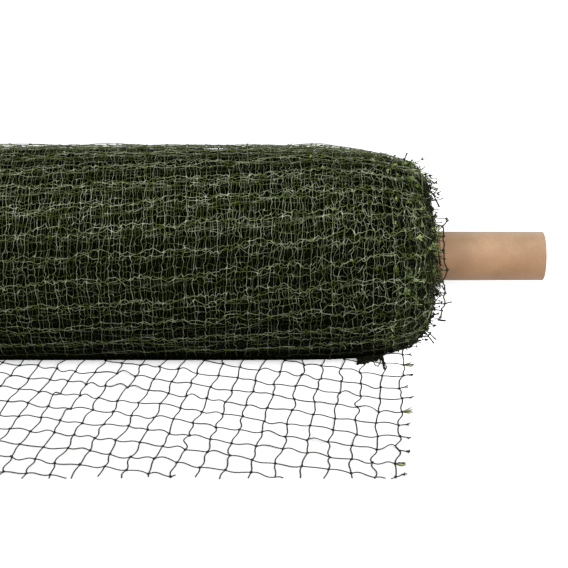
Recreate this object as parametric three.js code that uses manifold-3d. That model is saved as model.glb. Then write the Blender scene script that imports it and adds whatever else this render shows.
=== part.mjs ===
// Cat netting roll: a knotted net wound on a card core, with its loose end drawn out on the floor.
// Millimetres, +Z up. The origin is on the floor under the middle of the roll. +X runs along the
// core, and the loose end leaves the bottom of the roll towards -Y. The core hangs a little low in
// the wound net, which is soft.

import * as THREE from 'three';
import { mergeVertices } from 'three/addons/utils/BufferGeometryUtils.js';
import Module from 'manifold-3d';

const wasm = await Module();
wasm.setup();

// Driving dimensions

const MESH = 30;                // side of one square mesh of the net
const STRAND = 1.2;             // thickness of a strand, and so of the net lying flat
const MESHES_ACROSS = 31;       // the net is this many meshes wide

const ROLL_RADIUS = 150;        // the wound net, outside
const SAG = 2;                  // how far the roll sinks into its own flat spot
const ROLL_CENTRE = ROLL_RADIUS - SAG;      // height of the middle of the wound round
const CORE_HEIGHT = ROLL_CENTRE - 6;        // the core hangs this low in the wound net
const ROLL_HALF_LENGTH = 495;   // to the furthest point of each rounded end
const UNEVEN = 1.4;             // how far the wound surface rises and falls

const CORE_RADIUS = 34;         // outside of the card tube
const CORE_WALL = 4;
const CORE_HALF_LENGTH = 629;
const GAP = 0.3;                // between pieces that touch

const ROLL_PITCH = 0.94 * MESH; // from column to column: the roll draws the meshes in a little
const SIDE_KNOT = MESHES_ACROSS * ROLL_PITCH / 2;   // x of the outermost knots at the roll
const ROW_PITCH = 0.97 * MESH;  // from row to row along the floor
const FIRST_ROW = -61;          // y of one row's knot at the right-hand side
const LEAN_START = -44;         // y that the columns start to lean from
const FRONT_CUT = -324;         // y of the straight cut across the loose end
const TAIL = 15;                // a cut strand past its last knot
const WANDER = 2;               // how far a knot lies out of its even place

const ROUND_SEGMENTS = 56;

// The wound form, from the tip of a rounded end inwards. `inset` is the distance from the tip
// along the core, and `radius` is the roll's radius there.
const END_PROFILE = [
  { inset: 0, radius: 50 },
  { inset: 8, radius: 62 },
  { inset: 17, radius: 89 },
  { inset: 34, radius: 116 },
  { inset: 51, radius: 133 },
  { inset: 86, radius: 143 },
  { inset: 120, radius: 147.5 },
  { inset: 165, radius: 149.4 },
  { inset: 250, radius: ROLL_RADIUS },
  { inset: 400, radius: ROLL_RADIUS },
];

// The net lies a little askew. At each `x` of the roll, `lean` is how far a column of meshes
// runs to the left for each millimetre it runs forward.
const COLUMN_LEAN = [
  { x: -440, lean: 0.34 },
  { x: -90, lean: 0.34 },
  { x: 20, lean: 0.27 },
  { x: 230, lean: 0.19 },
  { x: 340, lean: 0.12 },
  { x: 440, lean: 0.10 },
];

// `fall` is how far a row of meshes runs forward for each millimetre it runs to the right.
const ROW_FALL = [
  { x: -440, fall: 0.18 },
  { x: 50, fall: 0.18 },
  { x: 170, fall: 0.26 },
  { x: 400, fall: 0.26 },
  { x: 415, fall: 0.05 },
  { x: 440, fall: 0.05 },
];

// Value of one column of a table at x, straight between its rows.
function along(table, column, x) {
  const next = table.findIndex((row) => row.x >= x);
  if (next === -1) return table.at(-1)[column];
  if (next === 0) return table[0][column];
  const [a, b] = [table[next - 1], table[next]];
  return a[column] + (b[column] - a[column]) * (x - a.x) / (b.x - a.x);
}

function toSolid(geometry) {
  const bare = geometry.clone();
  for (const name of Object.keys(bare.attributes)) {
    if (name !== 'position') bare.deleteAttribute(name);
  }
  const merged = mergeVertices(bare, 1e-4);
  return new wasm.Manifold(new wasm.Mesh({
    numProp: 3,
    vertProperties: merged.attributes.position.array,
    triVerts: Uint32Array.from(merged.index.array),
  }));
}

function toGeometry(solid) {
  const mesh = solid.getMesh();
  const geometry = new THREE.BufferGeometry();
  geometry.setAttribute('position', new THREE.BufferAttribute(mesh.vertProperties, 3));
  geometry.setIndex(new THREE.BufferAttribute(mesh.triVerts, 1));
  geometry.computeVertexNormals();
  return geometry;
}

// A closed ring turned about the core's line. The points of `outline` are [radius, x], from the
// left end of the bore over the outside to its right end.
function turned(outline) {
  const points = outline.map(([radius, x]) => new THREE.Vector2(radius, x));
  points.push(points[0].clone());
  return new THREE.LatheGeometry(points, ROUND_SEGMENTS).rotateZ(-Math.PI / 2);
}

function coreTube() {
  const bore = CORE_RADIUS - CORE_WALL;
  const end = CORE_HALF_LENGTH;
  const tube = turned([[bore, -end], [CORE_RADIUS, -end], [CORE_RADIUS, end], [bore, end]]);
  return mergeVertices(tube.translate(0, 0, CORE_HEIGHT), 1e-4);
}

// How far the wound surface stands above its plain round at x and angle: long swells along the
// roll and a few soft ones around it, in millimetres. They die out underneath, where it is pressed.
function swell(x, angle) {
  const free = 0.5 + 0.5 * Math.sin(angle);
  return UNEVEN * free * (0.5 * Math.sin(x / 61 + 2 * angle) + 0.5 * Math.sin(x / 143 - angle + 1.3)
    + 0.4 * Math.sin(3 * angle + x / 210));
}

function netRoll() {
  const bore = CORE_RADIUS + GAP;
  const stations = [
    ...END_PROFILE.map(({ inset, radius }) => [radius, inset - ROLL_HALF_LENGTH]),
    ...END_PROFILE.toReversed().map(({ inset, radius }) => [radius, ROLL_HALF_LENGTH - inset]),
  ];
  const outline = [[bore, -ROLL_HALF_LENGTH], ...stations, [bore, ROLL_HALF_LENGTH]];
  const drum = turned(outline);
  const place = drum.attributes.position;
  const point = new THREE.Vector3();
  for (let k = 0; k < place.count; k += 1) {
    point.fromBufferAttribute(place, k);
    const radius = Math.hypot(point.y, point.z);
    if (radius > bore + 1) {
      const grown = radius + swell(point.x, Math.atan2(point.z, point.y)) * radius / ROLL_RADIUS;
      point.y *= grown / radius;
      point.z *= grown / radius;
    }
    point.z = radius > bore + 1 ? Math.max(point.z + ROLL_CENTRE, 0) : point.z + CORE_HEIGHT;
    place.setXYZ(k, point.x, point.y, point.z);
  }
  return mergeVertices(drum, 1e-4);
}

// Where the loose end starts: where the round of the roll clears the net's thickness by the gap,
// and half a strand on, for the corners of strands cut there on the slant.
function contactLine() {
  const rise = ROLL_CENTRE - STRAND - GAP;
  return -Math.sqrt(ROLL_RADIUS ** 2 - rise ** 2) - STRAND / 2;
}

// The knots of the loose end as rows[j][i] = [x, y], i counting columns from the right. Columns
// leave the roll one pitch apart and lean left on their way forward; rows fall forward to the
// right.
function knots() {
  const drops = [0];
  for (let i = 1; i <= MESHES_ACROSS; i += 1) {
    const x = SIDE_KNOT - (i - 0.5) * ROLL_PITCH;
    drops.push(drops[i - 1] + ROLL_PITCH * along(ROW_FALL, 'fall', x));
  }
  const rowCount = Math.ceil((FIRST_ROW - FRONT_CUT + drops.at(-1)) / ROW_PITCH) + 1;
  const rows = [];
  for (let j = -1; j < rowCount; j += 1) {
    rows.push(drops.map((drop, i) => {
      const x = SIDE_KNOT - i * ROLL_PITCH;
      const y = FIRST_ROW - j * ROW_PITCH + drop + WANDER * Math.sin(1.7 * i + 2.3 * j);
      const lean = along(COLUMN_LEAN, 'lean', x);
      return [x + lean * (y - LEAN_START) + WANDER * Math.sin(2.1 * j + 0.9 * i), y];
    }));
  }
  return rows;
}

// The part of a strand that lies between the contact line and the front cut, cut straight there.
function trimmed(points) {
  const [low, high] = [FRONT_CUT, contactLine()];
  const inside = (y) => y >= low && y <= high;
  const kept = [];
  for (let k = 0; k < points.length; k += 1) {
    const [a, b] = [points[k], points[k + 1]];
    if (inside(a[1])) kept.push(a);
    if (!b || inside(a[1]) === inside(b[1])) continue;
    const edge = Math.min(a[1], b[1]) < low ? low : high;
    const share = (edge - a[1]) / (b[1] - a[1]);
    kept.push([a[0] + (b[0] - a[0]) * share, edge]);
  }
  return kept;
}

// A strand laid along points on the floor, as a flat bar with mitred corners.
function strand(points) {
  const left = [];
  const right = [];
  points.forEach(([x, y], k) => {
    const before = points[Math.max(k - 1, 0)];
    const after = points[Math.min(k + 1, points.length - 1)];
    const run = Math.hypot(after[0] - before[0], after[1] - before[1]);
    const across = [-(after[1] - before[1]) / run, (after[0] - before[0]) / run];
    left.push(new THREE.Vector2(x + across[0] * STRAND / 2, y + across[1] * STRAND / 2));
    right.push(new THREE.Vector2(x - across[0] * STRAND / 2, y - across[1] * STRAND / 2));
  });
  const shape = new THREE.Shape([...left, ...right.reverse()]);
  return new THREE.ExtrudeGeometry(shape, { depth: STRAND, bevelEnabled: false });
}

// A row with its cut tails: a stub carried on past the last knot at each side.
function withTails(row) {
  const stub = ([x, y], [nextX, nextY]) => {
    const run = Math.hypot(x - nextX, y - nextY);
    return [x + (x - nextX) * TAIL / run, y + (y - nextY) * TAIL / run];
  };
  return [stub(row[0], row[1]), ...row, stub(row.at(-1), row.at(-2))];
}

function looseEnd() {
  const rows = knots();
  const columns = rows[0].map((_, i) => rows.map((row) => row[i]));
  const strands = [...rows.map(withTails), ...columns].map(trimmed);
  const laid = strands.filter((points) => points.length > 1).map((points) => toSolid(strand(points)));
  return toGeometry(laid.reduce((net, bar) => net.add(bar)).asOriginal().simplify(0.05));
}

function named(name, geometry, colour, roughness) {
  const material = new THREE.MeshStandardMaterial({ color: colour, roughness, metalness: 0 });
  const mesh = new THREE.Mesh(geometry, material);
  mesh.name = name;
  return mesh;
}

const roll = new THREE.Group();
roll.add(named('core_tube', coreTube(), 0xb99778, 0.85));
roll.add(named('net_roll', netRoll(), 0x313725, 0.6));
roll.add(named('loose_end', looseEnd(), 0x23281b, 0.6));

export default roll;
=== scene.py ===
"""Cat netting roll: a knotted olive net wound on a kraft card tube, with its loose end drawn out.

The net is one long strip of square meshes. It lies flat on the floor from its cut front to the line
where the roll touches down, then winds under the roll, up its back and over the top, turn on turn.
Its outer turns are made strand by strand, its many inner ones show only as the cut selvages that
crowd the rounded ends, and a body painted near black as shade stands for the rest. Metres, +Z up.
"""
import math

import bpy
import numpy as np
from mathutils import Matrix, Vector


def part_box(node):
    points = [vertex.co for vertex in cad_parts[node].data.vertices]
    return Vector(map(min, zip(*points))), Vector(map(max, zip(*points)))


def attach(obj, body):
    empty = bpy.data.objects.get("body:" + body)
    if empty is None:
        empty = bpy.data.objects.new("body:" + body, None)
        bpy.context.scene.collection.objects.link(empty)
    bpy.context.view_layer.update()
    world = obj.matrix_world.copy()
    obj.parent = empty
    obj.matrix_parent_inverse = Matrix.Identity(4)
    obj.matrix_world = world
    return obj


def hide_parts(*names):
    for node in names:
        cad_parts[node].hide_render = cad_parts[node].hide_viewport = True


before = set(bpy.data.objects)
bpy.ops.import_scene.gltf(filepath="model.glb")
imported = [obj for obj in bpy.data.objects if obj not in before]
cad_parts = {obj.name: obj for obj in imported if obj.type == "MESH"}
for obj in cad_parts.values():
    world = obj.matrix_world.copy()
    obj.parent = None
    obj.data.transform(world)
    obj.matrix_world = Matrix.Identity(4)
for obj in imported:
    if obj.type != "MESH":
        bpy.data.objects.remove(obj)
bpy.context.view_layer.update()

# ---------------------------------------------------------------------------
# Sizes, from the frame and from the net itself
# ---------------------------------------------------------------------------

MM = 0.001
core_low, core_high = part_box("core_tube")
roll_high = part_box("net_roll")[1]

CORE_HEIGHT = (core_low.z + core_high.z) / 2
CORE_RADIUS = (core_high.z - core_low.z) / 2
CORE_WALL = 4 * MM
CORE_END = core_high.x
PLY_ADVANCE = 50 * MM                 # how far the card's spiral seam moves along in one turn
SEAM_START = 585 * MM                 # x of that seam at the top of the tube
ROLL_RADIUS = 150 * MM
ROLL_CENTRE = 148 * MM                # the roll sinks 2 mm into its own flat spot
ROLL_END = roll_high.x                # furthest point of each rounded end

MESH = 30 * MM                        # side of one mesh
TWINE = 0.85 * MM                     # thickness of a strand where the net is wound, more or less
LAID_TWINE = 1.7 * MM                 # and where it lies loose on the floor
ACROSS = 31                           # meshes from selvage to selvage
ROLL_PITCH = 0.94 * MESH              # column to column
ROW_PITCH = 0.97 * MESH               # row to row
SIDE_KNOT = ACROSS * ROLL_PITCH / 2   # x of the outermost knots where the roll touches down
FIRST_ROW = -61 * MM                  # y of one row's knot at the right-hand side
LEAN_START = -44 * MM                 # y that the columns start to lean from
FRONT_CUT = -324 * MM                 # y of the cut across the loose end
WANDER = 2 * MM                       # how far a knot lies out of its even place
KNOT_RADIUS = 1.1 * MM                # of a strand where it passes through a knot
ROWS_A_TURN = 28                      # rows catch on the rows below, so they come round in step
TURN_RUN = ROWS_A_TURN * ROW_PITCH
OUTER_TURNS = 12                      # turns made strand by strand
OUTER_TURN = 0.8 * MM                 # depth of one of these: their strands nest
INNER_TURN = 1.3 * MM                 # depth of one of the rest
LEAF_MARK = 5.0                       # stands in the map of frayed fibres, in place of turns
TAIL = 13 * MM                        # a cut strand past its last knot
FLANK = 0.9                           # light that a wound strand loses from crest to foot

# The rounded end: the roll's radius at each inset from its furthest point, in millimetres.
END_PROFILE = np.array(
    [(0, 50), (8, 62), (17, 89), (34, 116), (51, 133), (86, 143), (120, 147.5), (165, 149.4), (250, 150)],
    dtype=[("inset", float), ("radius", float)],
)

# On the floor the net lies askew: columns lean left on their way forward, rows fall forward to
# the right. Both change along the roll (x in millimetres).
COLUMN_LEAN = np.array(
    [(-440, 0.34), (-90, 0.34), (20, 0.27), (230, 0.19), (340, 0.12), (440, 0.10)],
    dtype=[("x", float), ("lean", float)],
)
ROW_FALL = np.array(
    [(-440, 0.18), (50, 0.18), (170, 0.26), (400, 0.26), (415, 0.05), (440, 0.05)],
    dtype=[("x", float), ("fall", float)],
)

# How far the rows of the wound net lie off the rows below, in millimetres, by turns from the floor
# inwards.
ROW_SLIP = np.array(
    [(0, 0), (0.3, 2), (0.6, -2), (0.85, 0), (1.05, 3), (1.35, -3), (1.7, 2), (1.95, 3), (2.3, 2),
     (2.6, 8), (2.9, 10), (3.2, 5), (3.6, -9), (3.95, -11), (4.3, -4), (4.75, 13), (5.3, -3), (5.9, 3),
     (6.5, 13), (7.2, 12), (8, -6), (9, 14), (10, 3), (11, -3), (12, 2), (13, 1)],
    dtype=[("turns", float), ("slip", float)],
)

# How far each turn's columns lie to the right of where they started. They fall between the columns
# of the turns above and below, so that six turns show side by side.
COLUMN_SHIFT = np.array([0, 14.1, 4.7, 18.8, 9.4, 23.5, 2.3, 16.4, 7.0, 21.1, 11.7, 25.8, 0]) * MM

# Painted light and shade on the wound net round the roll: the angle is in degrees from straight
# down, by way of the front. It is painted darker below, and painted black where it is pressed
# together by the floor.
ROUND_LIGHT = np.array(
    [(0, 0.02), (44, 0.02), (51, 0.1), (56, 0.34), (62, 0.41), (79, 0.42), (93, 0.49), (106, 0.47),
     (118, 0.47), (130, 0.59), (142, 0.61), (156, 0.6), (172, 0.53), (182, 0.56), (250, 0.85),
     (290, 0.5), (308, 0.1), (316, 0.02), (360, 0.02)],
    dtype=[("angle", float), ("light", float)],
)

# How the outer turns are shared out among pieces: the deeper ones are seen less, so their strands
# have fewer sides and fewer points (`steps` are the points of a strand between two knots).
FINE_STEPS = (0.0, 0.08, 0.22, 0.36, 0.5, 0.64, 0.78, 0.92)
PLAIN_STEPS = (0.0, 0.09, 0.25, 0.42, 0.58, 0.75, 0.91)
COARSE_STEPS = (0.0, 0.2, 0.4, 0.6, 0.8)
BARE_STEPS = (0.0, 0.5)
SHELLS = [
    {"name": "outer_turn", "first": 0, "turns": 1, "sides": 4, "steps": FINE_STEPS},
    {"name": "second_turn", "first": 1, "turns": 1, "sides": 4, "steps": FINE_STEPS},
    {"name": "third_turns", "first": 2, "turns": 2, "sides": 3, "steps": PLAIN_STEPS},
    {"name": "fifth_turns", "first": 4, "turns": 3, "sides": 3, "steps": COARSE_STEPS},
    {"name": "deep_turns", "first": 7, "turns": 5, "sides": 3, "steps": BARE_STEPS},
]

FAN_FACING = np.array([0.0, -0.5, 0.9])  # the wide fans at the loose end lie nearly flat

# One selvage has slipped off the right end and hangs past it, knot by knot from the top down.
HANGING = np.array(
    [(479, -60, 220), (482, -65, 208), (481, -70, 189), (487, -75, 161), (483, -80, 146),
     (485, -85, 131), (485, -88, 116), (482, -90, 107), (479, -92, 93)], float,
) * MM

# The tangle under the front of the roll (millimetres): the middle and the half size of its lump and
# of the loops crowded beside it, the one curl that hangs lower, and the one thick strand.
TANGLE = np.array([[(379, -58, 7), (8, 5, 5)], [(397, -50, 8), (10, 4, 6)]]) * MM
CURL = np.array(
    [(392, -48, 9), (393, -58, 5), (396, -65, 2), (400, -66, 1), (403, -60, 3), (404, -46, 9)], float,
) * MM
THICK_STRAND = np.array([(405.5, -45, 8), (406.8, -58, 4), (408.5, -74, 1.5)]) * MM

# Thick cut ends that stand out past the outline of the right end, each from its root to its tip.
CUT_ENDS = np.array(
    [(456, -100, 82, 472, -104, 63), (456, -98, 84, 475, -99, 66), (434, -114, 62, 453, -115, 75),
     (438, -118, 70, 446, -119, 85), (431, 18, 278, 435, 20, 291), (434, 0, 280, 441, 0, 290),
     (462, -18, 268, 471, -20, 264), (464, -40, 262, 476, -40, 239)], float,
) * MM


# ---------------------------------------------------------------------------
# Camera and light
# ---------------------------------------------------------------------------

def place_camera():
    """A long lens from the front and a little right of the middle, looking down on the roll."""
    data = bpy.data.cameras.new("camera")
    data.sensor_width = 36
    data.lens = 95.3
    data.clip_end = 50
    camera = bpy.data.objects.new("camera", data)
    camera.location = (0.2674, -1.8451, 1.1518)
    camera.rotation_euler = (math.radians(90 - 29.76), 0, 0)
    bpy.context.scene.collection.objects.link(camera)
    bpy.context.scene.camera = camera


def place_light():
    """A bright even room, with a broad soft lamp above and in front."""
    world = bpy.data.worlds.new("room")
    world.use_nodes = True
    background = world.node_tree.nodes["Background"]
    background.inputs["Color"].default_value = (1.0, 1.0, 1.0, 1)
    background.inputs["Strength"].default_value = 1.1
    bpy.context.scene.world = world

    lamp = bpy.data.lights.new("softbox", "AREA")
    lamp.shape = "RECTANGLE"
    lamp.size, lamp.size_y = 3.0, 2.0
    lamp.energy = 330
    softbox = bpy.data.objects.new("softbox", lamp)
    softbox.location = (1.0, -2.4, 2.1)
    aim = softbox.location.copy()
    aim.z -= ROLL_CENTRE
    softbox.rotation_euler = aim.to_track_quat("Z", "Y").to_euler()
    bpy.context.scene.collection.objects.link(softbox)
    bpy.context.scene.view_settings.view_transform = "Standard"


# ---------------------------------------------------------------------------
# Materials
# ---------------------------------------------------------------------------

class Socket:
    """A shader socket that can stand in a sum: every sum adds its Math nodes."""

    def __init__(self, paint, socket):
        self.paint = paint
        self.socket = socket

    def math(self, operation, *others):
        return self.paint.math(operation, self, *others)

    def __add__(self, other):
        return self.math("ADD", other)

    def __sub__(self, other):
        return self.math("SUBTRACT", other)

    def __rsub__(self, other):
        return self.paint.math("SUBTRACT", other, self)

    def __mul__(self, other):
        return self.math("MULTIPLY", other)

    def __truediv__(self, other):
        return self.math("DIVIDE", other)

    __rmul__ = __mul__

    def wave(self):
        """1 in the middle of every whole number's reach, falling straight to 0 at its two ends."""
        return 1 - 2 * (self.math("FRACT") - 0.5).math("ABSOLUTE")

    def step(self, low, high):
        """0 below low, 1 above high, and a smooth rise between."""
        return self.paint.node(
            "ShaderNodeMapRange",
            {"interpolation_type": "SMOOTHSTEP"},
            {"Value": self, "From Min": low, "From Max": high},
        )[0]


class Paint:
    """One material and the one way in which nodes are added to it."""

    def __init__(self, name):
        self.material = bpy.data.materials.new(name)
        self.material.use_nodes = True
        self.tree = self.material.node_tree
        self.tree.nodes.clear()
        self.place = self.node("ShaderNodeTexCoord")["Object"]

    def node(self, kind, settings=None, inputs=None):
        """Adds a node, its settings first, then its sockets. Gives its outputs by number and name."""
        made = self.tree.nodes.new(kind)
        for name, value in (settings or {}).items():
            setattr(made, name, value)
        for name, value in (inputs or {}).items():
            if isinstance(value, Socket):
                self.tree.links.new(value.socket, made.inputs[name])
            else:
                made.inputs[name].default_value = value
        outputs = {number: Socket(self, out) for number, out in enumerate(made.outputs)}
        outputs.update({out.name: Socket(self, out) for out in made.outputs})
        return outputs

    def math(self, operation, *values):
        return self.node("ShaderNodeMath", {"operation": operation}, dict(enumerate(values)))[0]

    def parts(self, vector):
        return self.node("ShaderNodeSeparateXYZ", {}, {0: vector})

    def strand_map(self):
        """The mesh's own map: along a strand it is (round it, along it), in turns and metres."""
        return self.parts(self.node("ShaderNodeUVMap", {"uv_map": "strand"})["UV"])

    def tone(self):
        return self.node("ShaderNodeAttribute", {"attribute_name": "tone"})["Fac"]

    def noise(self, scale, detail):
        inputs = {"Vector": self.place, "Scale": scale, "Detail": detail}
        return self.node("ShaderNodeTexNoise", {}, inputs)[0]

    def blend(self, share, first, second):
        """The first colour where share is 0 and the second where it is 1."""
        return self.node("ShaderNodeMix", {"data_type": "RGBA"}, {0: share, 6: first, 7: second})[2]

    def bump(self, height, distance):
        return self.node("ShaderNodeBump", {}, {"Height": height, "Distance": distance})["Normal"]

    def finish(self, **sockets):
        shader = self.node(
            "ShaderNodeBsdfPrincipled", {}, {name.replace("_", " "): v for name, v in sockets.items()}
        )[0]
        self.node("ShaderNodeOutputMaterial", {}, {"Surface": shader})
        return self.material


def colour(red, green, blue):
    """A colour given as it looks on a screen, from 0 to 255, as the light it stands for."""
    share = np.array([red, green, blue]) / 255
    light = np.where(share <= 0.04045, share / 12.92, ((share + 0.055) / 1.055) ** 2.4)
    return (*light.tolist(), 1.0)


def grey(light):
    """A plain grey, by the share of light that it gives back."""
    return (light, light, light, 1.0)


# shaded and fair are the twine's own colours, mixed at random; deep is the green of painted shade, and
# pale the colour of painted light and of the palest frayed tips.
WOUND_COLOURS = {
    "shaded": colour(79, 91, 49),
    "fair": colour(158, 163, 139),
    "leafy": colour(80, 95, 42),
    "pale": colour(128, 140, 92),
    "deep": colour(71, 86, 20),
}
LAID_COLOURS = {
    "shaded": colour(16, 18, 13),
    "fair": colour(24, 26, 19),
    "leafy": colour(56, 60, 38),
    "pale": colour(112, 118, 82),
    "deep": colour(12, 14, 9),
}


def twine_paint(name, colours, gloss):
    """Twisted twine: olive that drifts from strand to strand, and leaf green where it is frayed.

    The mesh's painted light and shade runs from 0 on a plain strand up to 1 on the palest tip, lit in
    clumps, and down to -1 for the deepest painted shade, between the turns and under the roll. The ply
    is a ridge that winds round the strand.
    """
    paint = Paint(name)
    tone = paint.tone()
    base = paint.blend(paint.noise(75, 3).step(0.34, 0.68), colours["shaded"], colours["fair"])
    base = paint.blend(paint.noise(22, 2).step(0.56, 0.72) * 0.35, base, colours["shaded"])
    strand = paint.strand_map()
    base = paint.blend(strand["X"].step(LEAF_MARK - 2, LEAF_MARK - 1) * 0.8, base, colours["leafy"])
    # Painted light and shade from the mesh: below 0 the twine is painted a deeper green and then near
    # black, above 0 it is painted pale.
    base = paint.blend(tone * tone * 0.8, base, colours["deep"])
    base = paint.blend(tone, base, colours["pale"])
    base = paint.blend(0 - tone, base, colour(2, 3, 0))
    ply = (strand["X"] * (6 * math.pi) + strand["Y"] * (2 * math.pi / (4.5 * MM))).math("SINE")
    normal = paint.bump(ply, 0.12 * MM)
    return paint.finish(Base_Color=base, Roughness=0.5, Specular_IOR_Level=gloss, Normal=normal)


def card_paint(name):
    """Kraft card, wound on a slant: mottled fibre, and a faint line where each ply meets the next.

    It has a painted highlight just behind its top, painted shade below, where it is warmer and
    darker, and painted shade beside the wound net.
    around is in turns from the top of the tube towards its back.
    """
    paint = Paint(name)
    place = paint.parts(paint.place)
    around = place["Y"].math("ARCTAN2", place["Z"] - CORE_HEIGHT) / (2 * math.pi)
    seam = ((place["X"] - SEAM_START) / PLY_ADVANCE - around + 0.5).wave()
    line = seam.step(0.96, 1.0)
    mottle = paint.noise(26, 4).step(0.3, 0.7)
    fibre = paint.noise(420, 3).step(0.35, 0.65)
    base = paint.blend(mottle, colour(104, 84, 64), colour(121, 98, 76))
    base = paint.blend(fibre * 0.25, base, colour(92, 72, 52))
    base = paint.blend(line * 0.14, base, colour(136, 114, 94))
    # Painted shade: warmer and darker below.
    below = (CORE_HEIGHT - place["Z"]) / (2 * CORE_RADIUS) + 0.5
    base = paint.blend(below.step(-0.05, 0.3) * 0.5, base, colour(80, 49, 20))
    # Painted highlight: a pale band just behind the top.
    crest = around.step(-0.06, 0.08) * (1 - around.step(0.1, 0.25))
    base = paint.blend(crest * 0.7, base, colour(146, 128, 110))
    # Painted shade: darker beside the wound net.
    clear = place["X"].math("ABSOLUTE").step(0.48, 0.56)
    base = paint.blend((1 - clear) * 0.35, base, colour(60, 40, 20))
    normal = paint.bump(mottle * 0.3 + fibre * 0.3 - line * 0.5, 0.12 * MM)
    return paint.finish(Base_Color=base, Roughness=0.7, Specular_IOR_Level=0.25, Normal=normal)


def depth_paint(name):
    """The inside of the roll in painted shade: near black, with turn below turn of crossing strands,
    each painted fainter than the last.

    A turn's columns are the crests of a wave along x and its rows those of a wave round the roll,
    both pushed about by noise.
    """
    paint = Paint(name)
    strand = paint.strand_map()
    base = colour(1, 2, 0)
    height = 0.0
    # Painted shade: each painted turn is darker than the one over it.
    for number, light in enumerate((2, 4, 7)):
        push = paint.noise(9 + 4 * number, 3) * 2.5 + 0.37 * number
        columns = (strand["X"] / (9 * MM) + push).wave().step(0.8, 0.92)
        rows = (strand["Y"] / (17 * MM) + push * 0.7).wave().step(0.88, 0.95)
        crossing = columns.math("MAXIMUM", rows)
        base = paint.blend(crossing, base, colour(light, 1.25 * light, 0.4 * light))
        height = crossing + height
    return paint.finish(
        Base_Color=base, Roughness=0.9, Specular_IOR_Level=0.0, Normal=paint.bump(height, 0.8 * MM)
    )


def floor_paint(name):
    """A plain pale floor that looks evenly white: palest where the least light falls on it.

    That is close to the roll and far off. Close to the roll, but not behind it, it glows a little.
    """
    paint = Paint(name)
    place = paint.parts(paint.place)
    back, aside = place["Y"], place["X"].math("ABSOLUTE")
    away = back.math("ABSOLUTE").math("MAXIMUM", aside - 0.62)
    behind = back.step(0.0, 0.04) * (1 - aside.step(0.40, 0.47))
    far = (back * back + place["X"] * place["X"]).step(2.5, 14)
    tint = paint.blend((away - back.step(0.0, 0.05) * 0.08).step(0.05, 0.10), grey(0.97), grey(0.54))
    tint = paint.blend(back.step(-0.09, -0.30), tint, grey(0.39))
    tint = paint.blend(behind, tint, grey(0.54))
    tint = paint.blend(back.step(0.2, 0.8), tint, grey(0.6))
    tint = paint.blend(far, tint, grey(0.88))
    dull = away.step(0.04, 0.09).math("MAXIMUM", behind)
    glow = paint.blend(dull, grey(1.0), grey(0.0))
    return paint.finish(
        Base_Color=tint, Roughness=1.0, Specular_IOR_Level=0.0, Emission_Color=glow, Emission_Strength=0.3
    )


# ---------------------------------------------------------------------------
# Meshes from arrays
# ---------------------------------------------------------------------------

class Pile:
    """Many small shapes gathered into one mesh, each with its map and its tone."""

    def __init__(self):
        self.points = []
        self.tones_and_shades = []
        self.faces = {3: [], 4: []}
        self.maps = {3: [], 4: []}
        self.count = 0

    def add(self, points, tone, *faces_and_maps):
        """points is (..., 3). Each pair after it is faces (n, 3 or 4) and their map (n, 3 or 4, 2)."""
        points = points.reshape(-1, 3)
        self.points.append(points)
        self.tones_and_shades.append(np.broadcast_to(tone, len(points)))
        for faces, its_map in faces_and_maps:
            sides = faces.shape[1]
            self.faces[sides].append(faces + self.count)
            self.maps[sides].append(its_map)
        self.count += len(points)

    def piece(self, name, material, node=None):
        """Makes the mesh, leaves out points that no face uses, and fastens the piece to the roll."""
        faces = [np.concatenate(self.faces[sides]) for sides in (3, 4) if self.faces[sides]]
        maps = [np.concatenate(self.maps[sides]).reshape(-1, 2) for sides in (3, 4) if self.maps[sides]]
        corners = np.concatenate([f.ravel() for f in faces])
        sizes = np.concatenate([np.full(len(f), f.shape[1]) for f in faces])
        used, corners = np.unique(corners, return_inverse=True)
        points = np.concatenate(self.points)[used]
        points[:, 2] = np.maximum(points[:, 2], 0)
        mesh = bpy.data.meshes.new(name)
        mesh.vertices.add(len(points))
        mesh.vertices.foreach_set("co", points.ravel())
        mesh.loops.add(len(corners))
        mesh.loops.foreach_set("vertex_index", corners.ravel())
        mesh.polygons.add(len(sizes))
        mesh.polygons.foreach_set("loop_start", np.cumsum(sizes) - sizes)
        mesh.polygons.foreach_set("use_smooth", np.ones(len(sizes), bool))
        mesh.uv_layers.new(name="strand").data.foreach_set("uv", np.concatenate(maps).ravel())
        tone = mesh.attributes.new("tone", "FLOAT", "POINT")
        tone.data.foreach_set("value", np.concatenate(self.tones_and_shades)[used])
        mesh.update(calc_edges=True)
        mesh.validate()
        mesh.materials.append(material)
        made = bpy.data.objects.new(name, mesh)
        bpy.context.scene.collection.objects.link(made)
        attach(made, "root")
        if node:
            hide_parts(node)
        return made


def unit(vectors):
    return vectors / np.maximum(np.linalg.norm(vectors, axis=-1, keepdims=True), 1e-12)


def corner_map(*corners):
    """Puts together the map of four-sided faces from the (u, v) of each corner."""
    shape = np.broadcast_shapes(*[np.shape(value) for corner in corners for value in corner])
    return np.stack([np.stack([np.broadcast_to(v, shape) for v in corner], -1) for corner in corners], -2)


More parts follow.
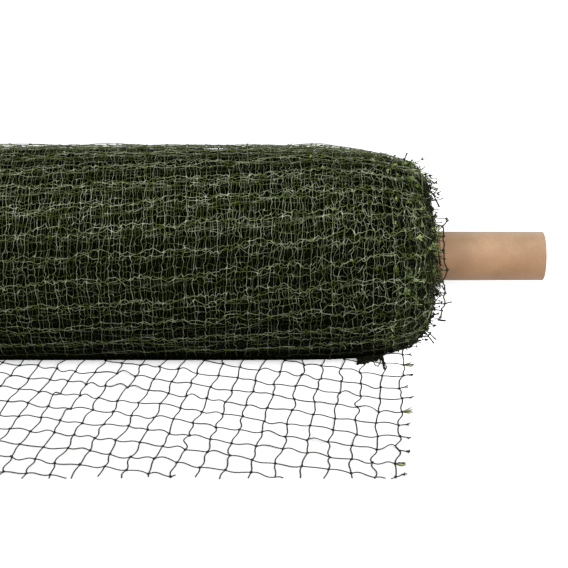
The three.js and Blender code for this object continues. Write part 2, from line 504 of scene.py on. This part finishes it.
def sweep(pile, paths, radius, up, sides=4, tone=0.0, keep=None, flank=0.0):
    """Round strands along paths: every ring is the path's point plus the radius turned about its run.

    paths is (strands, points, 3), and radius and tone are numbers or (strands, points). keep says
    which steps of each path are made, and both ends of every run that is kept are closed. A ring
    starts at its crest, towards up, and flank is the share of light lost from there to its foot.
    """
    strands, count = paths.shape[:2]
    run = unit(np.gradient(paths, axis=1))
    across = unit(np.cross(run, up))
    over = np.cross(across, run)
    turn = np.pi / 2 + 2 * np.pi * np.arange(sides) / sides
    thick = np.broadcast_to(radius, (strands, count))[:, :, None, None]
    rings = paths[:, :, None] + thick * (
        np.cos(turn)[:, None] * across[:, :, None] + np.sin(turn)[:, None] * over[:, :, None]
    )
    lengths = np.linalg.norm(np.diff(paths, axis=1), axis=2)
    along = np.concatenate([np.zeros((strands, 1)), np.cumsum(lengths, axis=1)], axis=1)
    number = np.arange(strands * count * sides).reshape(strands, count, sides)
    this, following = number[:, :-1], number[:, 1:]
    quads = np.stack([this, following, np.roll(following, -1, 2), np.roll(this, -1, 2)], axis=-1)
    side = np.arange(sides) / sides
    here, there = along[:, :-1, None], along[:, 1:, None]
    its_map = corner_map(
        (side, here), (side, there), (side + 1 / sides, there), (side + 1 / sides, here)
    )
    if keep is None:
        keep = np.ones((strands, count - 1), bool)
    edge = np.pad(keep, ((0, 0), (1, 1)))
    starts = number[:, :-1][keep & ~edge[:, :-2]]
    ends = number[:, 1:][keep & ~edge[:, 2:]][:, ::-1]
    caps = np.concatenate([starts, ends])
    lit = 1 - flank * (0.5 - 0.5 * np.sin(turn))
    pile.add(
        rings,
        ((1 + np.broadcast_to(tone, (strands, count))[:, :, None]) * lit - 1).ravel(),
        (quads[keep].reshape(-1, 4), its_map[keep].reshape(-1, 4, 2)),
        (caps, np.zeros((len(caps), sides, 2))),
    )


def bent(roots, steps, ahead, bend):
    """Paths from roots: a step of t is t times ahead and t squared times bend from its root."""
    steps = np.array(steps)[:, None]
    return roots[..., None, :] + steps * ahead[..., None, :] + steps**2 * bend[..., None, :]


def brushes(pile, roots, heading, reach, opening, tone, rng, count=4, broad=0.06, facing=None):
    """Split flat fibres that fan out from cut ends: each is a leaf of three widths on a bent line.

    A fan lies in a plane through its heading, facing a given way or else at random. Its fibres head
    along cos(a) heading + sin(a) side, where a runs across the opening. roots and heading are
    (ends, 3), the rest (ends,). broad is how wide a fibre is for its reach.
    """
    ends = len(roots)
    side = unit(np.cross(heading, rng.normal(size=(ends, 3)) if facing is None else facing))
    face = np.cross(heading, side)[:, None]
    angle = ((np.arange(count) + rng.uniform(0.2, 0.8, (ends, count))) / count - 0.5) * opening[:, None]
    angle = angle[..., None]
    ahead = np.cos(angle) * heading[:, None] + np.sin(angle) * side[:, None]
    length = reach[:, None, None] * rng.uniform(0.6, 1.15, (ends, count, 1))
    curl = face * rng.normal(0, 0.25, (ends, count, 1)) * length
    paths = bent(roots[:, None], [-0.1, 0.5, 1.0], ahead * length, curl)
    paths[..., 2] = np.maximum(paths[..., 2], 0.5 * MM)
    half = np.array([0.35, 1.0, 0.35])[:, None] * (0.25 * MM + broad * reach)[:, None, None, None]
    across = np.cross(np.broadcast_to(face, ahead.shape), ahead)[:, :, None] * half
    points = np.stack([paths - across, paths + across], axis=3)
    number = np.arange(ends * count * 6).reshape(-1, 3, 2)
    faces = np.stack(
        [number[:, :-1, 0], number[:, :-1, 1], number[:, 1:, 1], number[:, 1:, 0]], axis=-1
    ).reshape(-1, 4)
    its_map = np.broadcast_to([LEAF_MARK, 0.0], (len(faces), 4, 2))
    lighter = rng.uniform(0.6, 1.4, (ends, count, 1)) * np.array([0.6, 1.0, 1.1])
    shades = (1 + tone[:, None, None]) * lighter - 1
    pile.add(points, np.repeat(shades.ravel(), 2), (faces, its_map))


def swell(seed, wavelength, *places):
    """A soft random field of about -1 to 1: six sine waves near one wavelength, each its own way."""
    rng = np.random.default_rng(seed)
    total = 0.0
    for _ in range(6):
        heading = unit(rng.normal(size=len(places)))
        pace = 2 * np.pi / (wavelength * rng.uniform(0.7, 1.5))
        total = total + np.sin(pace * sum(h * p for h, p in zip(heading, places)) + rng.uniform(0, 6.283))
    return total / 3


# ---------------------------------------------------------------------------
# The net as one strip: columns across, rows along
# ---------------------------------------------------------------------------

def round_at(x):
    """The roll's radius at x: full in the middle, and falling off towards each end."""
    inset = (ROLL_END - np.abs(x)) / MM
    return np.interp(inset, END_PROFILE["inset"], END_PROFILE["radius"]) * MM


def ramp(value, start, span):
    """0 up to start, then straight up to 1 over the span."""
    return np.clip((value - start) / span, 0, 1)


def droop(x, angle):
    """How far the upper side sinks towards the rounded ends; angle is from straight down."""
    return 8 * MM * ramp(np.abs(x), 0.32, 0.1) * np.maximum(-np.cos(angle), 0)


def end_at(radius):
    """How far out from the middle the rounded end reaches at a radius: round_at turned about."""
    inset = np.interp(radius / MM, END_PROFILE["radius"], END_PROFILE["inset"])
    return ROLL_END - inset * MM


def looseness(x):
    """How untidy the wound net is: 1 in the middle, and up to a third more towards the ends."""
    return 1 + 0.35 * ramp(np.abs(x), 0.20, 0.20)


def strip_knots(rows):
    """Knots as (rows, columns, 3): x along the core, run along the net and depth below the surface.

    Columns count from the right. Run is 0 where the roll touches the floor, negative on the loose
    end and positive round the roll. Every knot wanders by sines of its row and column. Round the
    roll the rows fall less, soft random fields push the knots about as well, and each turn's columns
    have their own shift: it holds from 0.08 to 0.93 of the turn and changes over in between.
    """
    column = np.arange(ACROSS + 1)
    even = SIDE_KNOT - column * ROLL_PITCH
    middles = even[:-1] - ROLL_PITCH / 2
    falls = np.interp(middles / MM, ROW_FALL["x"], ROW_FALL["fall"])
    drop = np.concatenate([[0], np.cumsum(ROLL_PITCH * falls)])
    row = rows[:, None]
    run = FIRST_ROW - row * ROW_PITCH + drop
    run = run - 0.7 * drop * ramp(run, 0, 0.25)
    run = run + WANDER * np.sin(1.7 * column + 2.3 * row)
    lean = np.interp(even / MM, COLUMN_LEAN["x"], COLUMN_LEAN["lean"])
    wander = WANDER * np.where(run > 0, 0.4, 1.0)
    x = even + lean * (np.minimum(run, 0) - LEAN_START) + wander * np.sin(2.1 * row + 0.9 * column)
    turns = np.maximum(run, 0) / TURN_RUN
    turn = np.arange(len(COLUMN_SHIFT))
    held = np.stack([turn + 0.08, turn + 0.93], axis=-1).ravel()
    x = x + np.interp(turns, held, np.repeat(COLUMN_SHIFT, 2))
    loose = looseness(x) * (run > 0)
    around = 2 * np.pi * turns
    place = (x, ROLL_RADIUS * np.sin(around), ROLL_RADIUS * np.cos(around))
    x = x + loose * (1.8 * MM * swell(1, 0.07, *place) + 3.2 * MM * swell(2, 0.3, *place))
    run = run + loose * (2.4 * MM * swell(3, 0.12, x, run) + 2.2 * MM * swell(4, 0.045, x, run))
    run = run + np.interp(turns, ROW_SLIP["turns"], ROW_SLIP["slip"]) * MM
    depth = OUTER_TURN * turns + loose * 1.1 * MM * swell(5, 0.05, x, run)
    return np.stack([x, run, depth], axis=-1)


def on_floor(strip):
    """Strip places to points on the floor: the run is y, and depth is taken as height when negative."""
    return np.stack([strip[..., 0], strip[..., 1], TWINE / 2 - strip[..., 2]], axis=-1)


def on_roll(strip):
    """Strip places to points round the roll, from the floor up the back.

    Underneath, the turns are pressed flat and nothing stands out far (depth below 0 stands out).
    """
    x, run, depth = np.moveaxis(strip, -1, 0)
    angle = 2 * np.pi * run / TURN_RUN
    free = 0.15 + 0.85 * (0.5 - 0.5 * np.cos(angle))
    radius = round_at(x) - droop(x, angle) - np.where(depth < 0, depth * free, depth)
    y = radius * np.sin(angle)
    z = ROLL_CENTRE - radius * np.cos(angle)
    z = np.maximum(z, TWINE / 2 + 0.6 * np.maximum(depth, 0))
    return np.stack([x, y, z], axis=-1)


def outward(points):
    """Straight out from the roll's middle line."""
    away = points - np.array([0.0, 0.0, ROLL_CENTRE])
    return unit(away * np.array([0.0, 1.0, 1.0]))


def shade_at(depth, points):
    """Painted shade of a strand: painted darker turn by turn inwards, and darker round under the roll.

    The painted light falls off as exp(-(depth / reach) cubed), where reach grows with the painted
    light at that angle. The rounded ends are painted more evenly lit round than the middle.
    """
    angle = np.degrees(np.arctan2(-points[..., 1], ROLL_CENTRE - points[..., 2])) % 360
    here = np.interp(angle, ROUND_LIGHT["angle"], ROUND_LIGHT["light"])
    end = ramp(np.abs(points[..., 0]), 0.34, 0.08) * ramp(-np.abs(angle - 180), -130, 20)
    here = here + 0.8 * end * (0.58 - here)
    reach = np.maximum((15 - 4 * end) * here - 2.2, 2.8) * OUTER_TURN
    within = 0.02 + 0.98 * np.exp(-((np.maximum(depth, 0) / reach) ** 3))
    return within * here - 1


def strands(knots, steps, sideways, rng, wave, lift, kinks=7):
    """Carries strands through their knots, as (strands, points, 3) of strip places.

    Between two knots a strand is the straight line plus 1, 2, 3 and more half waves sideways, up to
    kinks of them and each lower than the last, and a half wave outwards. The heights of the waves
    are random, and lift gives the outward ones.
    """
    t = np.array(steps)
    start, end = knots[:, :-1, None], knots[:, 1:, None]
    line = start + (end - start) * t[:, None]
    spans = (knots.shape[0], knots.shape[1] - 1, 1)
    for waves in range(1, min(len(steps), kinks + 1)):
        line[..., sideways] += rng.normal(0, 1, spans) * wave * waves**-0.4 * np.sin(waves * np.pi * t)
    line[..., 2] -= lift(spans) * np.sin(np.pi * t)
    return np.concatenate([line.reshape(len(knots), -1, 3), knots[:, -1:]], axis=1)


def knotted(count, steps, thin):
    """Radius of a strand along its points: thin, and swollen where it passes through a knot."""
    radius = np.full(count, thin)
    radius[:: len(steps)] = KNOT_RADIUS
    return radius


def clumped(points):
    """Share of light on frayed ends, by a soft random field: bright in clumps, nearly black between."""
    return np.clip(0.3 + 1.7 * swell(41, 0.016, *points.T), 0.03, 1.5)


def cut_tails(pile, roots, heading, shade, rng, length=TAIL, spread=0.35, leafy=0.2, thick=1.0):
    """Strands cut off past their last knots: each is a bent stub with a brush of fibres at its tip.

    roots and heading are (tails, 3), and shade is the painted shade of each. leafy is the share of
    tails whose brush is wide open and green, and thick multiplies the stubs' radius.
    """
    tails = len(roots)
    length = length * rng.uniform(0.5, 1.25, (tails, 1))
    heading = unit(heading + rng.normal(0, spread, (tails, 3)))
    bend = rng.normal(0, 0.3, (tails, 3)) * length
    paths = bent(roots, [-0.12, 0.15, 0.6, 1.0], heading * length, bend)
    paths[..., 2] = np.maximum(paths[..., 2], 0.8 * MM)
    radius = np.array([1.25, 0.62, 0.55, 0.55]) * thick * MM
    sweep(pile, paths, radius, np.array([0.31, 0.22, 0.93]), 3, shade[:, None] + np.zeros(4))
    wide = rng.random(tails) < leafy
    reach = np.where(wide, rng.uniform(3, 6.5, tails), rng.uniform(2.2, 4, tails)) * thick * MM
    opening = np.where(wide, rng.uniform(0.8, 1.8, tails), rng.uniform(0.3, 0.9, tails))
    # Painted light and shade: the painted shade at each root, lit brighter in clumps and on wide brushes.
    tone = (1 + shade) * clumped(roots) * np.where(wide, 1.3, 0.9) - 1
    brushes(pile, paths[:, -1], unit(heading * length + 2 * bend), reach, opening, tone, rng, broad=0.1)


# ---------------------------------------------------------------------------
# Pieces
# ---------------------------------------------------------------------------

def turned(outline, around, centre, shape=None):
    """A closed ring turned about the roll's line, as points and faces with their map (along, round).

    outline is a closed run of (x, radius), from the inside round by the left end to the outside.
    shape may change the radius, given x, the radius and the angle from straight down.
    """
    x, radius = np.array(outline).T[:, :, None]
    angle = 2 * np.pi * np.arange(around) / around
    x, radius, angle = np.broadcast_arrays(x, radius, angle)
    if shape:
        radius = shape(x, radius, angle)
    points = np.stack([x, radius * np.sin(angle), centre - radius * np.cos(angle)], axis=-1)
    number = np.arange(x.size).reshape(x.shape)
    ahead = np.roll(number, -1, 0)
    faces = np.stack([number, ahead, np.roll(ahead, -1, 1), np.roll(number, -1, 1)], axis=-1)
    v, v_next = ROLL_RADIUS * angle, ROLL_RADIUS * (angle + 2 * np.pi / around)
    u, u_next = x, np.roll(x, -1, 0)
    its_map = corner_map((u, v), (u_next, v), (u_next, v_next), (u, v_next))
    return points, faces.reshape(-1, 4), its_map.reshape(-1, 4, 2)


def card_tube(material):
    """The card core: a wall with rounded lips, and a faint groove where the ply's edges meet."""
    lip = 0.7 * MM
    inner, outer = CORE_RADIUS - CORE_WALL, CORE_RADIUS
    stations = np.linspace(-CORE_END + lip, CORE_END - lip, 60)
    outline = [(CORE_END, inner + lip), *((x, inner) for x in stations[::-12]), (-CORE_END, inner + lip)]
    outline += [(-CORE_END, outer - lip), *((x, outer) for x in stations), (CORE_END, outer - lip)]

    def grooved(x, radius, angle):
        wound = ((x - SEAM_START) / PLY_ADVANCE + angle / (2 * np.pi)) % 1
        groove = np.exp(-(((wound - 0.5) / 0.012) ** 2)) * 0.12 * MM
        return radius - groove * (radius > outer - 0.1 * MM)

    pile = Pile()
    points, faces, its_map = turned(outline, 88, CORE_HEIGHT, grooved)
    pile.add(points, 0.0, (faces, its_map))
    return pile.piece("card_tube", material, "core_tube")


def wound_body(material):
    """The mass of inner turns: the roll's form, sunk below the outer turns, with a bore for the core."""
    sunk = 9.5 * MM
    bore = CORE_RADIUS + 7 * MM
    near_end = [12, 13, 15, 19, 26, 38, 52, 70, 92, 120, 150]
    x = -ROLL_END + sunk + np.concatenate([near_end, np.linspace(190, 480, 13)]) * MM
    x = np.concatenate([x, -x[::-1]])
    radius = np.maximum(round_at(np.abs(x) + sunk) - sunk, bore + 2 * MM)
    outline = [(x[0], bore), *zip(x, radius), (x[-1], bore)]

    def rippled(x, radius, angle):
        """Ripples the outside, lets it droop, and fills it out underneath, where turns are pressed."""
        ripple = swell(21, 0.05, x, radius * np.sin(angle), radius * np.cos(angle)) * 1.2 * MM
        pressed = (sunk + 0.7 * MM) * ramp(np.cos(angle), 0.58, 0.12)
        grown = ripple * np.maximum(1 - pressed / sunk, 0) + pressed - droop(x, angle)
        return radius + grown * (radius > bore + 1 * MM)

    pile = Pile()
    points, faces, its_map = turned(outline, 120, ROLL_CENTRE, rippled)
    points[..., 2] = np.maximum(points[..., 2], 2 * MM)
    pile.add(points, 0.0, (faces, its_map))
    return pile.piece("wound_body", material)


def first_row_after(run):
    """Number of the first row (they count down as the run grows) that is past a run everywhere."""
    return int(math.floor((FIRST_ROW - run) / ROW_PITCH))


def wound_turns(shell, material):
    """Some turns of the net, strand by strand, as round cords on the roll's spiral.

    Rows are a little thicker than columns and wave further. Strands lie slack, and a few of them
    stand out as loops, highest on the outermost turn.
    """
    rng = np.random.default_rng(100 + shell["first"])
    low, high = shell["first"] * TURN_RUN, (shell["first"] + shell["turns"]) * TURN_RUN
    before, after = 7, 3        # rows more at either side, which slant into these turns
    rows = np.arange(first_row_after(low) + before, first_row_after(high) - after, -1)
    knots = strip_knots(rows)
    knots[..., 2] += rng.normal(0, 0.35 * MM, knots.shape[:2])
    proud = 1.0 if shell["first"] == 0 else 0.4

    def lift(spans):
        slack = np.abs(rng.normal(0, 0.5 * MM, spans))
        loop = rng.exponential(2.0 * MM, spans) * (rng.random(spans) < 0.04)
        return slack + proud * np.minimum(loop, 5 * MM)

    steps = shell["steps"]
    pile = Pile()
    untidy = looseness(knots[..., 0])
    rows_first = (knots, untidy, 1, 1.4 * MM, 0.56 * TWINE)
    then_columns = (knots.swapaxes(0, 1), untidy.T, 0, 0.8 * MM, 0.47 * TWINE)
    for grid, untidiness, sideways, wave, thin in (rows_first, then_columns):
        strip = strands(grid, steps, sideways, rng, wave * untidiness[:, :-1, None], lift)
        paths = on_roll(strip)
        middle = (strip[:, 1:, 1] + strip[:, :-1, 1]) / 2
        keep = (middle > low) & (middle < high)
        swollen = knotted(paths.shape[1], steps, thin)
        shade = shade_at(strip[..., 2], paths)
        sweep(pile, paths, swollen, outward(paths), shell["sides"], shade, keep, FLANK)
    return pile.piece(shell["name"], material, "net_roll" if shell["first"] == 0 else None)


def outer_selvages(side, pile, rng):
    """The cut tails along one edge of the turns that are made strand by strand."""
    rows = np.arange(first_row_after(0), first_row_after(OUTER_TURNS * TURN_RUN), -1)
    knots = strip_knots(rows)
    edge, inner = (0, 1) if side > 0 else (-1, -2)
    roots, before = on_roll(knots[:, edge]), on_roll(knots[:, inner])
    shade = shade_at(knots[:, edge, 2], roots)
    past = unit(roots - before)
    cut_tails(pile, roots, past + 0.2 * outward(roots), shade, rng, spread=0.45, leafy=0.55)
    tufts(pile, roots, past + 0.3 * outward(roots), shade, rng)


def scattered_tufts(side, pile, rng):
    """Frayed ends among the outer turns: more and more of them towards the rounded end."""
    knots = strip_knots(np.arange(first_row_after(0), first_row_after(3 * TURN_RUN), -1))
    away = ramp(side * knots[..., 0], 0.26, 0.16)
    chosen = (rng.random(knots.shape[:2]) < 0.01 + 0.6 * away) & (side * knots[..., 0] > 0)
    roots = on_roll(knots[chosen] + np.array([0, 0, 0.3 * MM]))
    shade = shade_at(knots[chosen][:, 2], roots)
    heading = unit(rng.normal(size=roots.shape)) + 0.4 * outward(roots)
    tufts(pile, roots, heading, shade, rng)


def tufts(pile, roots, heading, shade, rng):
    """Leaf-like tufts where strands have frayed wide open: a few short broad fibres each, in clumps."""
    bright = clumped(roots) > 0.4
    roots, heading, shade = roots[bright], heading[bright], shade[bright]
    reach = rng.uniform(3, 7, len(roots)) * MM
    opening = rng.uniform(1.0, 2.6, len(roots))
    # Painted light and shade: the painted shade where each tuft sits, lit brighter in clumps.
    tone = (1 + shade) * clumped(roots) * rng.uniform(0.6, 1.35, len(roots)) - 1
    brushes(pile, roots, unit(heading), reach, opening, tone, rng, count=6, broad=0.11)


def hanging_selvage(pile, rng):
    """The selvage that hangs past the right end, with its knots, its rungs to the roll and its tails.

    Its path has a_knot points from one knot to the next.
    """
    a_knot = 8
    t = np.arange(len(HANGING))
    fine = np.linspace(0, t[-1], a_knot * t[-1] + 1)
    path = np.stack([np.interp(fine, t, HANGING[:, axis]) for axis in range(3)], axis=-1)
    path[:, 0] += MM * (1.0 * np.sin(4.4 * fine) + 0.5 * np.sin(9.1 * fine))
    radius = np.where(np.arange(len(fine)) % a_knot == 0, 2.4, 0.95) * MM
    front = np.array([0.0, -1.0, 0.1])
    # The hanging strands, their rungs and their tails are painted nearly black, as deep in painted shade.
    sweep(pile, path[None], radius, front, 4, -0.93)
    roots = path[a_knot:-1:a_knot]
    for root, rise in zip(roots, rng.uniform(-6, 6, len(roots)) * MM):
        end = root + np.array([-26 * MM, 8 * MM, rise])
        middle = (root + end) / 2 + np.array([0, 0, -3 * MM])
        sweep(pile, np.stack([root, middle, end])[None], 0.8 * MM, front, 4, -0.93)
    tails = path[a_knot * np.array([0, 0, 6, 8, 8])]
    heading = np.array([(0.7, 0, 0.7), (-0.9, 0, 0.4), (1, 0, 0.3), (1, 0, 0), (0.7, 0, -0.6)])
    cut_tails(pile, tails, heading, np.full(5, -0.9), rng, length=8 * MM, spread=0.1, leafy=0, thick=1.9)


def long_stubs(pile, rng):
    """Longer cut ends on the lower side of the right end, each with a small pale flattened tip."""
    count = 16
    angle = np.radians(rng.uniform(60, 125, count))
    x = rng.uniform(0.34, 0.45, count)
    radius = round_at(x) - droop(x, np.pi * 2 - angle)
    roots = np.stack([x, -radius * np.sin(angle), ROLL_CENTRE - radius * np.cos(angle)], axis=-1)
    heading = unit(np.array([0.8, 0.0, 0.5]) + 0.35 * outward(roots) + rng.normal(0, 0.25, roots.shape))
    reach = rng.uniform(7, 12, (count, 1)) * MM
    bend = rng.normal(0, 0.5, (count, 3)) * reach
    paths = bent(roots, [-0.1, 0.3, 0.65, 1.0], heading * reach, bend)
    shade = shade_at(0, roots)
    sweep(pile, paths, 0.5 * MM, np.array([0.31, 0.22, 0.93]), 4, shade[:, None] + np.zeros(4), flank=0.5)
    ahead = unit(paths[:, -1] - paths[:, -2])
    reach, opening, tone = np.tile([[3 * MM], [0.6], [0.1]], count)
    brushes(pile, paths[:, -1], ahead, reach, opening, tone, rng, 3, 0.1)


def cut_ends(pile):
    """The thick cut ends: each is a strand from its root to its tip that rises a little between."""
    root, tip = CUT_ENDS[:, :3], CUT_ENDS[:, 3:]
    rise = np.array([0, 0, 1.2]) * MM
    paths = np.stack([root, root * 0.55 + tip * 0.45 + rise, tip], axis=1)
    # These ends are painted nearly black, as deep in painted shade.
    sweep(pile, paths, np.array([0.8, 0.75, 1.2]) * MM, np.array([0.1, -1.0, 0.2]), 4, -0.95)


def snarl(pile):
    """A lump of tangled strand caught under the front of the roll near its right end, painted nearly
    black as shade.

    Each loop is a closed curve: along each axis it is the sum of three sine waves.
    """
    rng = np.random.default_rng(5)
    t = np.linspace(0, 2 * np.pi, 49)
    flat = np.array([0.1, 0.2, 0.97])
    in_lump, in_all = 15, 34
    for number in range(in_all):
        wave = [
            sum(rng.uniform(0.4, 0.9) / n * np.sin(n * t + rng.uniform(0, 6.283)) for n in (1, 2, 3))
            for _ in range(3)
        ]
        centre, size = TANGLE[0 if number < in_lump else 1]
        path = centre + np.stack(wave, axis=-1) * size
        path[:, 2] = np.maximum(path[:, 2], 0.7 * MM)
        sweep(pile, path[None], 1.1 * MM, flat, 4, -0.97)
    sweep(pile, CURL[None], 0.8 * MM, flat, 4, -0.9)
    sweep(pile, THICK_STRAND[None], 1.5 * MM, flat, 4, -0.97)


def inner_selvages(side, pile, rng):
    """The selvages of the inner turns: each is a wavy ring of strand with row ends sticking out.

    A ring of radius r lies just inside the rounded end's reach at r, and both its radius and its
    reach wander as soft random fields of the place on the ring. Each ring reads the fields at a
    random height of its own, so no two are alike.
    """
    first = ROLL_RADIUS - OUTER_TURNS * OUTER_TURN
    radii = np.arange(first, CORE_RADIUS + 12 * MM, -INNER_TURN)
    for radius in radii:
        points = int(2 * np.pi * radius / (7.5 * MM))
        angle = np.linspace(0, 2 * np.pi, points + 1)
        apart = np.full(points + 1, rng.uniform(0, 100))
        places = (radius * np.sin(angle), radius * np.cos(angle), apart)
        inward = 12 * MM + 3 * MM * (1 - np.cos(angle)) * ramp(-radius, -100 * MM, 30 * MM)
        reach = end_at(radius) - inward
        reach = reach + 3.5 * MM * swell(31, 0.05, *places) + 2 * MM * swell(32, 0.2, *places)
        wide = radius + 3.0 * MM * swell(33, 0.05, *places) - droop(reach, angle)
        ring = np.stack([side * reach, wide * np.sin(angle), ROLL_CENTRE - wide * np.cos(angle)], axis=-1)
        ring[:, 2] = np.maximum(ring[:, 2], TWINE)
        ring[-1] = ring[0]
        # Painted shade: each ring is painted darker by a random share, over the painted shade round the
        # roll.
        dark = 0.45 + 0.5 * rng.random()
        shade = -1 + (1 - dark) * (1 + shade_at(0, ring))
        sweep(pile, ring[None], TWINE / 2, outward(ring)[None], 3, shade)
        count = max(4, int(1.2 * np.pi * radius / ROW_PITCH))
        chosen = (rng.uniform() * points + np.arange(count) * points / count).astype(int) % points
        heading = np.array([0.8 * side, 0, 0]) + 0.5 * outward(ring[chosen])
        cut_tails(pile, ring[chosen], heading, shade[chosen], rng, length=5 * MM, spread=0.7, leafy=0.2)
        chosen = rng.integers(0, points, 2 * count)
        heading = np.array([0.8 * side, 0, 0]) + rng.normal(0, 0.6, (2 * count, 3))
        tufts(pile, ring[chosen], heading, shade_at(0, ring[chosen]), rng)


def roll_end(side, name, material):
    """All that lies loose at one rounded end; side is 1 for the right one and -1 for the left one."""
    rng = np.random.default_rng(50 + side)
    pile = Pile()
    outer_selvages(side, pile, rng)
    inner_selvages(side, pile, rng)
    scattered_tufts(side, pile, rng)
    if side > 0:
        hanging_selvage(pile, rng)
        long_stubs(pile, rng)
        cut_ends(pile)
        snarl(pile)
    return pile.piece(name, material)


def knot_loops(pile, centres, rng):
    """Hard little knots: a strand that goes round twice on a bent ring, turned at random."""
    t = np.linspace(0, 4 * np.pi, 15)
    loop = np.stack([np.cos(t), np.sin(t), 0.55 * np.sin(t / 2 + 0.6)], axis=-1) * 1.35 * MM
    turn = rng.uniform(0, 2 * np.pi, (len(centres), 1))
    tilt = rng.normal(0, 0.5, (len(centres), 1))
    x = loop[:, 0] * np.cos(turn) - loop[:, 1] * np.sin(turn)
    y = loop[:, 0] * np.sin(turn) + loop[:, 1] * np.cos(turn)
    z = loop[:, 2] + tilt * loop[:, 0] * 0.6
    paths = centres[:, None] + np.stack([x, y, z], axis=-1)
    paths[..., 2] = np.maximum(paths[..., 2], 0.75 * MM)
    sweep(pile, paths, 0.75 * MM, np.array([0.1, 0.2, 0.97]), 4)


def forked_tails(pile, roots, heading, rng):
    """Cut rows at the side of the loose end: stubs that split in two or three, and a few wide fans."""
    tails = len(roots)
    heading = unit(heading + rng.normal(0, 0.16, (tails, 3)) * [1, 1, 0.3])
    length = rng.uniform(5, 10, (tails, 1)) * MM
    tip = roots + heading * length
    tip[:, 2] = rng.uniform(1, 3, tails) * MM
    middle = (roots + tip) / 2 + rng.normal(0, 0.6, (tails, 3)) * MM
    flat = np.array([0.0, 0.0, 1.0])
    sweep(pile, np.stack([roots, middle, tip], axis=1), 0.85 * MM, flat, 4)
    for turn, chosen in ((-0.35, 1), (0.05, 2), (0.45, 1)):
        split, ahead = tip[::chosen], heading[::chosen]
        turned_by = turn * rng.uniform(0.5, 1.3, len(split))
        side = np.stack([-ahead[:, 1], ahead[:, 0], np.zeros(len(split))], axis=-1)
        ahead = unit(ahead * np.cos(turned_by)[:, None] + side * np.sin(turned_by)[:, None])
        reach = rng.uniform(4, 8, (len(split), 1)) * MM
        prongs = bent(split, [-0.15, 0.5, 1.0], ahead * reach, 0 * ahead)
        sweep(pile, prongs, np.array([0.6, 0.6, 1.0]) * MM, flat, 4)
    fans = np.arange(tails) % 4 == 1
    reach, opening, tone = np.tile([[13 * MM], [0.8], [0.6]], fans.sum())
    brushes(pile, roots[fans], heading[fans], reach, opening, tone, rng, 7, 0.07, FAN_FACING)


def drawn_out_net(material):
    """The loose end on the floor: wavy strands, a knot at every crossing, frayed tails at the sides.

    The cut at the front lies about a millimetre off its line, strand by strand.
    """
    rng = np.random.default_rng(7)
    knots = strip_knots(np.arange(18, -6, -1))
    knots[..., 2] = -0.3 * MM
    knots[..., :2] += rng.normal(0, 0.9 * MM, knots[..., :2].shape)

    def lift(spans):
        slack = np.abs(rng.normal(0, 0.5 * MM, spans))
        return slack + rng.exponential(2 * MM, spans) * (rng.random(spans) < 0.1)

    pile = Pile()
    cut = FRONT_CUT + rng.normal(0, 1.0 * MM, 200)
    for grid, sideways, wave in ((knots, 1, 2.3 * MM), (knots.swapaxes(0, 1), 0, 1.6 * MM)):
        strip = strands(grid, FINE_STEPS, sideways, rng, wave, lift, kinks=2)
        paths = on_floor(strip)
        middle = (strip[:, 1:, 1] + strip[:, :-1, 1]) / 2
        keep = (middle > cut[: len(strip), None]) & (middle < 1 * MM)
        swollen = knotted(paths.shape[1], FINE_STEPS, LAID_TWINE / 2)
        sweep(pile, paths, swollen, np.array([0.0, 0.0, 1.0]), 4, keep=keep)
    laid = on_floor(knots)
    shown = (laid[..., 1] > FRONT_CUT + 2 * MM) & (laid[..., 1] < -8 * MM)
    knot_loops(pile, laid[shown], rng)
    for edge, inner in ((0, 1), (-1, -2)):
        live = shown[:, edge]
        heading = unit(laid[live, edge] - laid[live, inner])
        forked_tails(pile, laid[live, edge], heading, rng)
    net = pile.piece("drawn_out_net", material, "loose_end")
    return net


def floor():
    half = 8
    corners = [(-half, -half, 0), (half, -half, 0), (half, half, 0), (-half, half, 0)]
    mesh = bpy.data.meshes.new("floor")
    mesh.from_pydata(corners, [], [(0, 1, 2, 3)])
    mesh.materials.append(floor_paint("pale_floor"))
    made = bpy.data.objects.new("floor", mesh)
    bpy.context.scene.collection.objects.link(made)


def build():
    place_camera()
    place_light()
    floor()
    wound = twine_paint("wound_twine", WOUND_COLOURS, gloss=0.04)
    laid = twine_paint("laid_twine", LAID_COLOURS, gloss=0.1)
    card_tube(card_paint("kraft_card"))
    wound_body(depth_paint("wound_depth"))
    for shell in SHELLS:
        wound_turns(shell, wound)
    roll_end(1, "right_selvages", wound)
    roll_end(-1, "left_selvages", wound)
    drawn_out_net(laid)


build()
